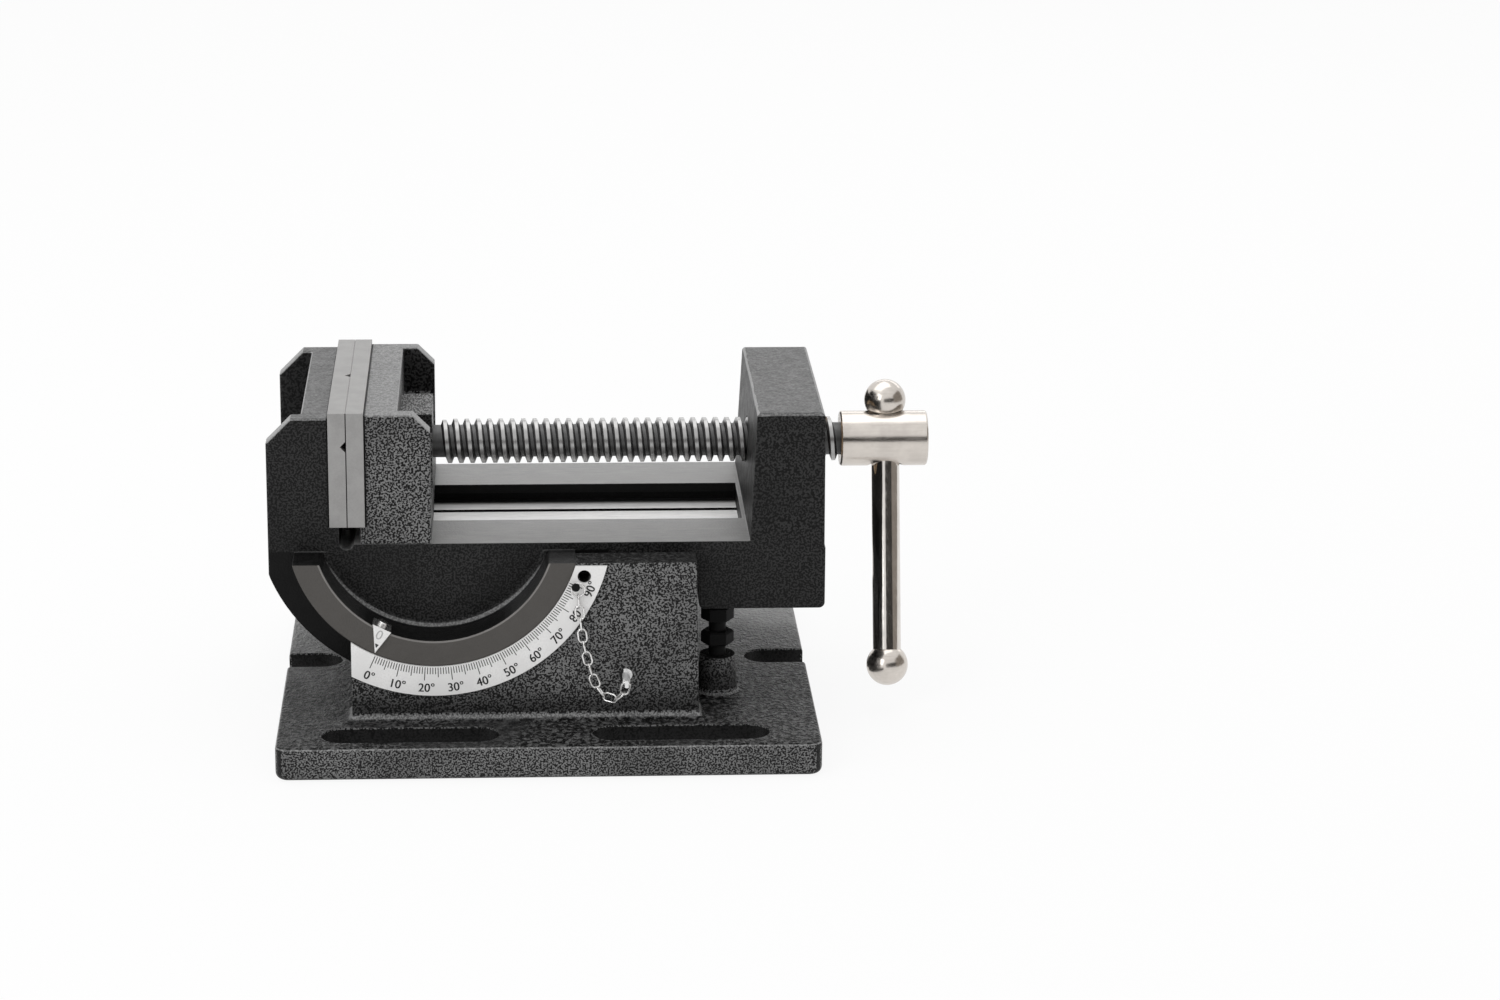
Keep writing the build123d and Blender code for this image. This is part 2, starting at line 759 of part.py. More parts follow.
with BuildPart() as spindle_retainers:
    for y in (-retainer_y, retainer_y):
        plane = Plane(origin=(retainer_x, y, retainer_top))
        disc(plane, retainer_diameter / 2, -retainer_length)
save(spindle_retainers, "spindle_retainers")


# Spindle: journal in the moving jaw, screw thread, and a plain end inside the head
def along_spindle(x):
    return Plane(origin=(x, 0, spindle_z), x_dir=(0, 1, 0), z_dir=(1, 0, 0))


def thread_ridge(start_x, turns, gap):
    root = thread_root_diameter / 2
    rise = (thread_diameter - thread_root_diameter) / 2 + gap
    foot = thread_foot / 2 + gap
    crest = thread_crest / 2 + gap
    with BuildPart() as ridge:
        with BuildLine() as path:
            helix = Helix(
                pitch=thread_pitch,
                height=turns * thread_pitch,
                radius=root,
                center=(start_x, 0, spindle_z),
                direction=(1, 0, 0),
            )
        with BuildSketch(Plane(origin=helix @ 0, x_dir=(1, 0, 0), z_dir=helix % 0)):
            Polygon((-foot, -thread_bury), (foot, -thread_bury), (crest, rise), (-crest, rise), align=None)
        sweep(path=path.line, is_frenet=True)
    return ridge.part


thread_start = moving_end_x + thread_lead_in + fit_gap
thread_turns = (thread_end - thread_runout - thread_start) / thread_pitch
with BuildPart() as spindle:
    disc(along_spindle(journal_end), journal_diameter / 2, moving_end_x - journal_end)
    groove_half = retainer_diameter / 2 + retainer_clearance
    ring(
        along_spindle(retainer_x - groove_half),
        journal_diameter,
        retainer_groove / 2,
        2 * groove_half,
        Mode.SUBTRACT,
    )
    core_length = head_x + head_bore_depth - moving_end_x
    disc(along_spindle(moving_end_x + fit_gap), thread_root_diameter / 2, core_length - 2 * fit_gap)
    disc(along_spindle(moving_end_x), journal_diameter / 2, thread_pitch)
    add(thread_ridge(thread_start, thread_turns, 0))
save(spindle, "spindle")


def nut_thread():
    skipped = (nut_x - thread_start) // thread_pitch - 2
    turns = nut_length // thread_pitch + 4
    with BuildPart() as tap:
        core = thread_root_diameter / 2 + thread_clearance
        disc(along_spindle(nut_x - overrun), core, nut_length + 2 * overrun)
        add(thread_ridge(thread_start + skipped * thread_pitch, turns, thread_clearance))
    return tap.part


with BuildPart() as spindle_nut:
    disc(Plane(origin=(nut_x, 0, spindle_z), x_dir=(0, 0, 1), z_dir=(1, 0, 0)), nut_diameter / 2, nut_length)
    add(nut_thread(), mode=Mode.SUBTRACT)
save(spindle_nut, "spindle_nut")

# T-bar across the head, leaning out at its lower end, in a plane of its own
bar_plane = Plane(origin=(t_bar_x, 0, spindle_z)).rotated((-t_bar_lean, 0, 0))

with BuildPart() as spindle_head:
    disc(along_spindle(head_x), head_diameter / 2, head_length)
    chamfer(spindle_head.edges().filter_by(GeomType.CIRCLE), head_edge)
    disc(along_spindle(head_x), thread_root_diameter / 2 + fit_gap, head_bore_depth, Mode.SUBTRACT)
    plane = bar_plane.offset(-head_diameter)
    disc(plane, t_bar_diameter / 2 + t_bar_clearance, 2 * head_diameter, Mode.SUBTRACT)
    for place in (-ball_seat, ball_seat):
        with Locations(bar_plane.offset(place)):
            Sphere(ball_diameter / 2 + ball_seat_clearance, mode=Mode.SUBTRACT)
save(spindle_head, "spindle_head")

# T-bar and its two pressed-on balls, hanging with the upper ball seated in the head
lower_ball_plane = bar_plane.offset(ball_seat - ball_spacing)
with BuildPart() as t_bar:
    disc(lower_ball_plane, t_bar_diameter / 2, ball_spacing)
save(t_bar, "t_bar")

with BuildPart() as t_bar_balls:
    with Locations(bar_plane.offset(ball_seat), lower_ball_plane):
        Sphere(ball_diameter / 2)
    disc(lower_ball_plane, t_bar_diameter / 2 + fit_gap, ball_spacing, Mode.SUBTRACT)
save(t_bar_balls, "t_bar_balls")

# Support screw and lock nut under the tilting body
shank_top = base_thickness + support_boss_height + support_head_rise
with BuildPart() as support_screw:
    disc(Plane(origin=(support_x, support_y, support_screw_end)), support_diameter / 2, shank_top - support_screw_end)
    chamfer(support_screw.edges().group_by(Axis.Z)[0], support_tip_edge)
    head_plane = Plane(origin=(support_x, support_y, shank_top))
    hexagon(head_plane, support_flats, support_head_height)
    crown_plane = head_plane.offset(support_head_height)
    crown_top = block_underside - support_contact_gap
    with BuildSketch(crown_plane) as crown_foot:
        Circle(support_flats / 2 - support_head_edge)
    with BuildSketch(Plane(origin=(support_x, support_y, crown_top))) as crown:
        Circle(support_crown_radius)
    loft([crown_foot.sketch, crown.sketch])
save(support_screw, "support_screw")

with BuildPart() as support_lock_nut:
    nut_plane = Plane(origin=(support_x, support_y, support_nut_bottom))
    hexagon(nut_plane, support_flats, support_nut_height)
    chamfer(support_lock_nut.edges().filter_by(Axis.Z, reverse=True), support_nut_edge)
    disc(nut_plane, support_diameter / 2 + support_clearance, support_nut_height, Mode.SUBTRACT)
save(support_lock_nut, "support_lock_nut")


# Clamp screws through the rear wall; their dog points ride in the drum's arc groove
def clamp_screw(x, z):
    pad_y = wall_half_width + clamp_pad_height
    dog_y = body_half_width - clamp_dog_depth
    shank_end = body_half_width + clamp_dog_depth
    hexagon(front_plane(pad_y, x, z), clamp_flats, -clamp_head_height)
    disc(front_plane(pad_y, x, z), clamp_diameter / 2, pad_y - shank_end)
    disc(front_plane(pad_y, x, z), clamp_dog_diameter / 2, pad_y - dog_y)


for name, (x, z) in zip(("clamp_screw_lower", "clamp_screw_upper"), clamp_places):
    with BuildPart() as screw:
        clamp_screw(x, z)
        rim = screw.edges().group_by(Axis.Y)[-1]
        chamfer(rim, clamp_head_edge)
    save(screw, name)

# Index pin with a cross-drilled tongue on its tail for the chain
with BuildPart() as index_pin:
    shoulder_y = -wall_half_width
    disc(front_plane(shoulder_y, pin_x, pin_z), pin_diameter / 2, -pin_length)
    chamfer(index_pin.edges().group_by(Axis.Y)[-1], pin_tip_edge)
    disc(front_plane(shoulder_y, pin_x, pin_z), pin_tail_diameter / 2, pin_tail_length)
    tail_end = shoulder_y - pin_tail_length
    half = pin_eye_thickness / 2
    for span in ((pin_x - pin_diameter, pin_x - half), (pin_x + half, pin_x + pin_diameter)):
        block(
            span,
            (tail_end, tail_end + pin_eye_length),
            (pin_z - pin_diameter, pin_z + pin_diameter),
            Mode.SUBTRACT,
        )
    cross = Plane(origin=(pin_x - pin_diameter, eye_y, pin_z), z_dir=(1, 0, 0))
    disc(cross, pin_eye_diameter / 2, 2 * pin_diameter, Mode.SUBTRACT)
save(index_pin, "index_pin")

# Chain screw, ring and links
with BuildPart() as chain_screw:
    ring_y = scale_face - chain_standoff
    head_y = ring_y - link_wire / 2 - fit_gap
    disc(front_plane(head_y, chain_screw_x, chain_screw_z), chain_screw_head / 2, chain_screw_head_height)
    neck_length = -wall_half_width - head_y + chain_screw_depth - screw_tip_gap
    disc(front_plane(head_y, chain_screw_x, chain_screw_z), chain_screw_neck / 2, -neck_length)
save(chain_screw, "chain_screw")

ring_wire_radius = (ring_diameter - link_wire) / 2
hang = ring_wire_radius - (chain_screw_neck + link_wire) / 2 - link_play / 2
ring_dx, ring_dz = polar(hang, ring_lean)
ring_centre = (chain_screw_x + ring_dx, ring_y, chain_screw_z + ring_dz)
with BuildPart() as chain_ring:
    with Locations(front_plane(ring_y, ring_centre[0], ring_centre[2])):
        Torus(ring_wire_radius, link_wire / 2)
save(chain_ring, "chain_ring")


def chain_link(start, end, face_on):
    along = (end - start).normalized()
    out = Vector(0, -1, 0)
    out = (out - along * out.dot(along)).normalized()
    normal = out if face_on else along.cross(out)
    straight = (link_length - link_width) / 2
    bend = (link_width - link_wire) / 2
    middle = (start + end) * (1 / 2)
    plane = Plane(origin=middle, x_dir=along, z_dir=normal)
    with BuildPart() as link:
        with BuildLine(plane) as path:
            Line((-straight, bend), (straight, bend))
            ThreePointArc((straight, bend), (straight + bend, 0), (straight, -bend))
            Line((straight, -bend), (-straight, -bend))
            ThreePointArc((-straight, -bend), (-straight - bend, 0), (-straight, bend))
        with BuildSketch(Plane(origin=path.line @ 0, z_dir=path.line % 0)):
            Circle(link_wire / 2)
        sweep(path=path.line)
    return link.part


hook = (link_wire + link_play) / 2
chain_top = (ring_centre[0], ring_y, ring_centre[2] - ring_wire_radius + hook)
chain_points = [chain_top]
chain_points += [(x, scale_face - out, z) for x, out, z in chain_hang]
chain_points += [(pin_x, eye_y, pin_z)]
chain_curve = Spline(*chain_points)
joints = [
    chain_curve.position_at(chain_curve.length * share / link_count, position_mode=PositionMode.LENGTH)
    for share in range(link_count + 1)
]
with BuildPart() as chain:
    for index in range(link_count):
        add(chain_link(joints[index], joints[index + 1], index % 2 == 1))
save(chain, "chain")
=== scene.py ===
import json
from math import cos, radians, sin

import bpy
from mathutils import Matrix, Vector


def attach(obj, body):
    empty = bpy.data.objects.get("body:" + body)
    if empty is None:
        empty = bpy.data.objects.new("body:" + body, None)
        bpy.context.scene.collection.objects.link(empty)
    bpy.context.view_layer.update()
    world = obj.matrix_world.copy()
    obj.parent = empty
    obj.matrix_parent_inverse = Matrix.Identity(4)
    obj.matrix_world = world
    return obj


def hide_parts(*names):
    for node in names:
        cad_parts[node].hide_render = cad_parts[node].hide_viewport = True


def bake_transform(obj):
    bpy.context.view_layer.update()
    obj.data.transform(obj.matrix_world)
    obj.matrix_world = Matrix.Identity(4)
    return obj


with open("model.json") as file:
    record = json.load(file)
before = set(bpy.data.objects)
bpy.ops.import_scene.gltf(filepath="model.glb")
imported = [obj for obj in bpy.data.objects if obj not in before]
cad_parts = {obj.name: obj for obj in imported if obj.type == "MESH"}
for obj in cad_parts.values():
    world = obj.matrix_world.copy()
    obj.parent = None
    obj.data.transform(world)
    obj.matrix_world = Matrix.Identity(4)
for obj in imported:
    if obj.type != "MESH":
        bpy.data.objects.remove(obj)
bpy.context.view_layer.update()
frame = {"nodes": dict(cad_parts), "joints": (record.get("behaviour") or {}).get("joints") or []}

nodes = frame["nodes"]
joints = {joint["name"]: joint for joint in frame["joints"]}
tilt = Vector(joints["tilt"]["pos_m"])  # the trunnions' axis
scene = bpy.context.scene
print("frame loaded:", len(nodes), "nodes")


class Wire:
    # a socket that does arithmetic; every operation adds a Math node to the same tree
    def __init__(self, tree, socket=None):
        self.tree, self.socket = tree, socket

    def node(self, kind, settings=None, sockets=None, output=0):
        made = self.tree.nodes.new(kind)
        for name, value in (settings or {}).items():
            setattr(made, name, value)
        for name, value in (sockets or {}).items():
            if isinstance(value, Wire):
                self.tree.links.new(value.socket, made.inputs[name])
            else:
                made.inputs[name].default_value = value
        return Wire(self.tree, made.outputs[output])

    def output(self, name):
        return Wire(self.tree, self.socket.node.outputs[name])

    def maths(self, operation, *others):
        sockets = dict(enumerate((self, *others)))
        return self.node("ShaderNodeMath", {"operation": operation}, sockets)

    def __add__(self, other):
        return self.maths("ADD", other)

    def __sub__(self, other):
        return self.maths("SUBTRACT", other)

    def __rsub__(self, other):
        return self.node("ShaderNodeMath", {"operation": "SUBTRACT"}, {0: other, 1: self})

    def __mul__(self, other):
        return self.maths("MULTIPLY", other)

    def __gt__(self, other):
        return self.maths("GREATER_THAN", other)

    def __lt__(self, other):
        return self.maths("LESS_THAN", other)

    def __abs__(self):
        return self.maths("ABSOLUTE")

    __radd__, __rmul__ = __add__, __mul__

    def most(self, *others):
        # the strongest of several masks
        result = self
        for other in others:
            result = result.maths("MAXIMUM", other)
        return result

    def between(self, low, high):
        return (self > low) * (self < high)

    def near(self, value, margin):
        return self.between(value - margin, value + margin)

    def ease(self, low, high, first=0.0, last=1.0):
        # a smooth step from first to last as the value goes from low to high
        return self.node(
            "ShaderNodeMapRange",
            {"interpolation_type": "SMOOTHSTEP"},
            {"Value": self, "From Min": low, "From Max": high, "To Min": first, "To Max": last},
        )


class Finish:
    # a Principled material with the wires that most finishes start from
    def __init__(self, name, constants=None):
        self.material = bpy.data.materials.new(name)
        self.material.use_nodes = True
        self.tree = self.material.node_tree
        self.shader = self.tree.nodes["Principled BSDF"]
        self.place = Wire(self.tree).node("ShaderNodeTexCoord", output="Object")
        apart = self.place.node("ShaderNodeSeparateXYZ", sockets={0: self.place})
        self.x, self.y, self.z = apart, apart.output("Y"), apart.output("Z")
        self.facing = self.place.node("ShaderNodeNewGeometry", output="True Normal")
        turned = self.place.node("ShaderNodeSeparateXYZ", sockets={0: self.facing})
        self.across, self.out, self.up = turned, turned.output("Y"), turned.output("Z")
        for socket, value in (constants or {}).items():
            self.shader.inputs[socket].default_value = value

    def noise(self, scale, detail=2.0, roughness=0.5, stretch=None, distortion=0.0):
        place = self.place
        if stretch:
            place = place.node("ShaderNodeMapping", sockets={"Vector": place, "Scale": stretch})
        sockets = {"Vector": place, "Scale": scale, "Detail": detail}
        sockets.update({"Roughness": roughness, "Distortion": distortion})
        return place.node("ShaderNodeTexNoise", sockets=sockets, output=0)

    def mix(self, share, first, second):
        # 0, 6, 7 and 2 are the colour mix's factor, A, B and result
        sockets = {0: share, 6: first, 7: second}
        return share.node("ShaderNodeMix", {"data_type": "RGBA"}, sockets, 2)

    def rounded(self, radius):
        return self.place.node("ShaderNodeBevel", {"samples": 6}, {"Radius": radius})

    def edges(self, soft, low=0.03, high=0.3):
        # 1 where the softened normal leaves the true one
        settings = {"operation": "DOT_PRODUCT"}
        dot = soft.node("ShaderNodeVectorMath", settings, {0: soft, 1: self.facing}, "Value")
        return (1 - dot).ease(low, high)

    def bump(self, height, strength, distance, normal=None):
        sockets = {"Height": height, "Strength": strength, "Distance": distance}
        if normal:
            sockets["Normal"] = normal
        return height.node("ShaderNodeBump", sockets=sockets)

    def plug(self, wires):
        for socket, wire in wires.items():
            self.tree.links.new(wire.socket, self.shader.inputs[socket])
        return self.material


def grey(value, warm=0.0):
    return (value * (1 + warm), value, value * (1 - warm), 1.0)


def span(shade, low, high, warm=0.0):
    # the two ends of a finish that varies round one shade
    return grey(shade * low, warm), grey(shade * high, warm)


def dress(material, *names):
    for name in names:
        slots = nodes[name].data.materials
        slots.clear()
        slots.append(material)


def placed(name, data, matrix=None):
    made = bpy.data.objects.new(name, data)
    if matrix is not None:
        made.matrix_world = matrix
    scene.collection.objects.link(made)
    return made


cameraView = {
    "lens": 97.58,
    "place": (-0.01023, -1.38837, 0.48525),
    "yaw": 3.46,
    "pitch": 16.61,
    "roll": 0.54,
}


def makeCamera(values):
    yaw, pitch, roll = (radians(values[key]) for key in ("yaw", "pitch", "roll"))
    forward = Vector((sin(yaw) * cos(pitch), cos(yaw) * cos(pitch), -sin(pitch)))
    level = Vector((cos(yaw), -sin(yaw), 0))
    over = level.cross(forward)
    right = level * cos(roll) + over * sin(roll)
    top = over * cos(roll) - level * sin(roll)
    turn = Matrix((right, top, -forward)).transposed().to_4x4()
    data = bpy.data.cameras.new("camera")
    data.lens = values["lens"]
    scene.camera = placed("camera", data, Matrix.Translation(values["place"]) @ turn)


studio = {
    "skyLight": 0.66,
    "lamps": {
        "overhead": {
            "place": (-0.15, 0.25, 1.3), "aim": (0, 0, 0.05), "size": (1.5, 1.1), "power": 5.5,
        },
        "frontLeft": {
            "place": (-1.1, -1.2, 0.9), "aim": (0, 0, 0.05), "size": (0.9, 0.9), "power": 8.0,
        },
        "rearStrip": {
            "place": (0.5, 1.3, 0.75), "aim": (0, 0, 0.1), "size": (1.6, 0.25), "power": 1.5,
        },
    },
    "cards": {  # only polished metal sees them
        "darkCard": {
            "place": (-0.8, -0.15, 0.3), "size": (1.5, 1.0), "shade": 0.012, "warm": 0.0,
        },
        "sideCard": {
            "place": (1.0, -0.2, 0.35), "size": (1.1, 0.8), "shade": 0.27, "warm": 0.10,
        },
        "frontCard": {
            "place": (0.72, -1.42, 0.39), "size": (2.1, 0.62), "shade": 0.05, "warm": 0.06,
        },
    },
    "floorReach": 8.0,
    "floorDrop": 0.0001,
    "floorShade": 0.9,
    "floorShow": 0.9,
}


def facing(place, target):
    turn = (Vector(target) - Vector(place)).to_track_quat("-Z", "Y")
    return Matrix.Translation(place) @ turn.to_matrix().to_4x4()


def emptied(holder):
    # a material or world with its nodes cleared, as a wire to start from
    holder.use_nodes = True
    holder.node_tree.nodes.clear()
    return Wire(holder.node_tree)


def shown(surface, kind):
    end = surface.tree.nodes.new("ShaderNodeOutput" + kind)
    surface.tree.links.new(surface.socket, end.inputs["Surface"])


def glow(start, colour, strength=1.0):
    sockets = {"Color": colour, "Strength": strength}
    return start.node("ShaderNodeEmission", sockets=sockets)


def seen(start):
    # camera, glossy and transmission rays see plain white
    path = start.node("ShaderNodeLightPath")
    rays = [path.output(f"Is {kind} Ray") for kind in ("Camera", "Glossy", "Transmission")]
    return rays[0].most(*rays[1:])


def flatSheet(name, wide, tall):
    mesh = bpy.data.meshes.new(name)
    corners = [(-wide, -tall, 0), (wide, -tall, 0), (wide, tall, 0), (-wide, tall, 0)]
    mesh.from_pydata(corners, [], [(0, 1, 2, 3)])
    return mesh


def makeWorld(values):
    world = scene.world = bpy.data.worlds.new("studioWorld")
    start = emptied(world)
    kind = "ShaderNodeBackground"
    lit = start.node(kind, sockets={"Color": grey(1.0), "Strength": values["skyLight"]})
    white = start.node(kind, sockets={"Color": grey(1.0), "Strength": 1.0})
    shown(start.node("ShaderNodeMixShader", sockets={0: seen(start), 1: lit, 2: white}), "World")


def makeLamps(values):
    for name, lamp in values["lamps"].items():
        data = bpy.data.lights.new(name, "AREA")
        data.shape, data.energy = "RECTANGLE", lamp["power"]
        data.size, data.size_y = lamp["size"]
        placed(name, data, facing(lamp["place"], lamp["aim"]))


def makeCards(values):
    for name, card in values["cards"].items():
        wide, tall = (side / 2 for side in card["size"])
        mesh = flatSheet(name, wide, tall)
        panel = placed(name, mesh, facing(card["place"], (0, 0, card["place"][2])))
        panel.visible_camera = panel.visible_diffuse = panel.visible_shadow = False
        material = bpy.data.materials.new(name)
        shown(glow(emptied(material), grey(card["shade"], card["warm"])), "Material")
        mesh.materials.append(material)


def makeFloor(values):
    mesh = flatSheet("floor", values["floorReach"], values["floorReach"])
    floor = placed("floor", mesh)
    floor.location.z = -values["floorDrop"]
    material = bpy.data.materials.new("floorPaper")
    start = emptied(material)
    paper = start.node("ShaderNodeBsdfDiffuse", sockets={"Color": grey(values["floorShade"])})
    share = seen(start) * values["floorShow"]
    both = {0: share, 1: paper, 2: glow(start, grey(1.0))}
    shown(start.node("ShaderNodeMixShader", sockets=both), "Material")
    mesh.materials.append(material)


makeCamera(cameraView)
makeWorld(studio)
makeLamps(studio)
makeCards(studio)
makeFloor(studio)
scene.view_settings.view_transform = "Standard"
print("camera and studio made")


# top is a painted sheen on each casting's upward faces, standing in for the light from above
castingLook = {
    "base": {
        "dark": 0.006, "light": 0.20, "worm": 1650, "top": 0.019,
        "bump": 0.5, "rough": 0.36, "rim": 0.4,
    },
    "body": {
        "dark": 0.004, "light": 0.030, "worm": 1500, "top": 0.125,
        "bump": 0.3, "rough": 0.42, "rim": 0.8,
    },
    "jaw": {
        "dark": 0.004, "light": 0.21, "worm": 1500, "top": 0.23,
        "bump": 0.5, "rough": 0.38, "rim": 0.8,
    },
    "ior": 1.25,
    "edgeRadius": 0.0007,
    "edgeShade": 0.16,
    "chamferShade": 0.34,
    "chamferFoot": 0.09,
    "seamFoot": 0.0765,
    "seamWidth": 0.0006,
    "shadow": 0.002,  # the shade of seams and undercuts
    "patchScale": 38,
    "chipScale": 420,
    "pebbleScale": 620,
    "glossScale": 210,
    "wormDepth": 0.0002,
    "foldDepth": 0.0035,
}


class Casting(Finish):
    # hammered black paint: light worms on black, thinner on broad tops, where a painted sheen
    # stands in for the light from above
    def __init__(self, name, values, piece):
        super().__init__(name, {"IOR": values["ior"]})
        self.values, self.look = values, values[piece]
        self.worms = self.wormField()
        self.grain = self.worms * self.noise(values["patchScale"], 3.0).ease(0.3, 0.7, 0.7, 1.1)
        self.flat = self.up.ease(0.6, 0.9)
        self.soft = self.rounded(values["edgeRadius"])
        # edges lightened to edgeShade and broken by noise: partly chipped paint, partly a painted
        # highlight along the edges
        chipsAndGlints = self.noise(values["chipScale"]).ease(0.35, 0.65, 0.35, 1.0)
        self.rim = self.edges(self.soft) * chipsAndGlints * self.look["rim"]
        self.chamferShade = grey(values["chamferShade"])
        self.shadow = grey(values["shadow"])
        self.fold = None

    def wormField(self, stretch=None):
        field = self.noise(self.look["worm"], 0.7, stretch=stretch, distortion=0.25)
        return field.ease(0.44, 0.58)

    def paint(self, grain, flat):
        look = self.look
        colour = self.mix(grain, grey(look["dark"]), grey(look["light"]))
        pebbles = self.noise(self.values["pebbleScale"]).ease(0.35, 0.65, 0.0, 0.45)
        # painted sheen: broad tops get a paler colour, as if lit from above
        top = self.mix(self.worms * 0.45 + pebbles, *span(look["top"], 0.55, 1.4))
        colour = self.mix(flat, colour, top)
        colour = self.mix(self.fillets(), colour, self.chamferShade)
        return self.mix(self.rim, colour, grey(self.values["edgeShade"]))

    def chamfers(self):
        # painted highlight on the long slanted corners of the jaws and frame, where they turn up
        # to the light
        slant = self.up.between(0.45, 0.9) * (abs(self.across) > 0.4)
        return slant * (self.z > self.values["chamferFoot"]) * self.worms.ease(0, 1, 0.7, 1.0)

    def fillets(self):
        # rounded edges that look up catch the light on their worms
        turned = self.up.ease(0.3, 0.45) * (1 - self.up.ease(0.72, 0.86))
        return turned * self.worms.ease(0, 1, 0.35, 0.6)

    def seam(self, x):
        # the shadow line where a plate seats against the casting
        near = abs(self.x - x) < self.values["seamWidth"]
        return near * (self.z > self.values["seamFoot"])

    def wires(self, colour):
        look, values = self.look, self.values
        normal = self.bump(self.worms, look["bump"], values["wormDepth"], self.soft)
        if self.fold:
            normal = self.bump(self.fold, 1.0, values["foldDepth"], normal)
        rough = look["rough"] + self.noise(values["glossScale"], 3.0).ease(0.2, 0.8, -0.05, 0.09)
        return {"Base Color": colour, "Roughness": rough, "Normal": normal}


baseDetail = {
    "plateTop": 0.0117,
    "footStart": 0.0142,  # the walls' foot, where the worms are fainter
    "footEnd": 0.027,
    "wallTop": 0.06,
    "boss": (0.0604, -0.0374, 0.0064),  # x, y and radius of the support boss's top
    "slotMiddle": 0.001,
    "slotReach": (0.092, 0.0926),  # side faces nearer than this are the slots' walls
    "slotDrop": 0.0006,
    "patchScale": 18,
    "foldScale": 620,
    "creaseShade": 0.001,
    "ridgeShade": 0.15,
    "rearLightShade": 0.46,
    "rearSpan": (-0.03, 0.05),
}


def basePaint(values, detail):
    finish = Casting("basePaint", values, "base")
    wide, deep = detail["slotReach"]
    # painted shade in the slots: their walls lose the light worms and stay dark
    slotWall = (abs(finish.x - detail["slotMiddle"]) < wide) * (abs(finish.y) < deep)
    slotWall = slotWall * (finish.z < detail["plateTop"] - detail["slotDrop"])
    plate = finish.z < detail["footStart"]
    foot = finish.z.ease(detail["footStart"], detail["footEnd"], 0.3, 1.0).most(plate)
    wrinkled = finish.noise(detail["patchScale"], 1.0).ease(0.35, 0.5, 0.35, 1.0) * finish.flat
    fold = finish.noise(detail["foldScale"], 2.0, 0.6, distortion=0.7)
    creases = (1 - fold.ease(0.43, 0.50)) * wrinkled
    ridges = fold.ease(0.51, 0.57) * wrinkled * 0.85
    # painted light: the plate's top grows paler toward the back
    rearLight = finish.flat * finish.y.ease(*detail["rearSpan"]) * plate * 0.6
    bossX, bossY, bossRadius = detail["boss"]
    right, back = finish.x - bossX, finish.y - bossY
    bossTop = (right * right + back * back).maths("SQRT") < bossRadius
    # painted shade on the support boss's top and the walls' tops, which lie in the shade of the
    # body above
    shadedTops = bossTop.most((finish.z > detail["wallTop"]) * 0.7) * finish.flat
    shadedTops = shadedTops * (finish.z > detail["footStart"]) * (1 - finish.rim)
    colour = finish.paint(finish.grain * foot * (1 - slotWall * 0.95), finish.flat * 0.85)
    colour = finish.mix(creases, colour, grey(detail["creaseShade"]))
    colour = finish.mix(ridges, colour, grey(detail["ridgeShade"]))
    colour = finish.mix(rearLight, colour, grey(detail["rearLightShade"]))
    colour = finish.mix(shadedTops, colour, finish.shadow)
    finish.fold = fold * wrinkled
    wires = finish.wires(colour)
    wires["Roughness"] = wires["Roughness"] + shadedTops * 0.5
    return finish.plug(wires)


bodyMachined = {
    "skin": 0.0002,  # how near a face lies to a named height to count as it
    "railShade": 0.27,
    "bandShade": 0.082,
    # painted light: the slide floor's steel is far paler than the rails', standing in for light
    # in the shaded channel
    "floorShade": 0.95,
    "bedZ": 0.07034,
    "floorZ": 0.0634,
    "wayFoot": 0.055,
    "wayHalf": 0.0262,
    "wayDrop": 0.0003,
    "bandFace": 0.065,
    "seatX": -0.07355,
    "side": 0.0494,
    "sideSkin": 0.0003,
    "stepZ": 0.0677,
    "trunnion": 0.0501,
    "ringInner": 0.0413,
    "ringLip": 0.0006,
    "ringStart": 0.0012,
    "ringRim": 0.22,
    "drum": 0.0611,
    "frameInner": 0.06,
    "frameFade": (0.07, 0.112),
    "lip": 0.033,
    "lipWidth": 0.0004,
    "lipShade": 0.27,
    "footFade": (0.0190, 0.0235),
    "overhangShadow": 0.05,
    "steelWarm": 0.012,
    "bandWarm": 0.06,
}


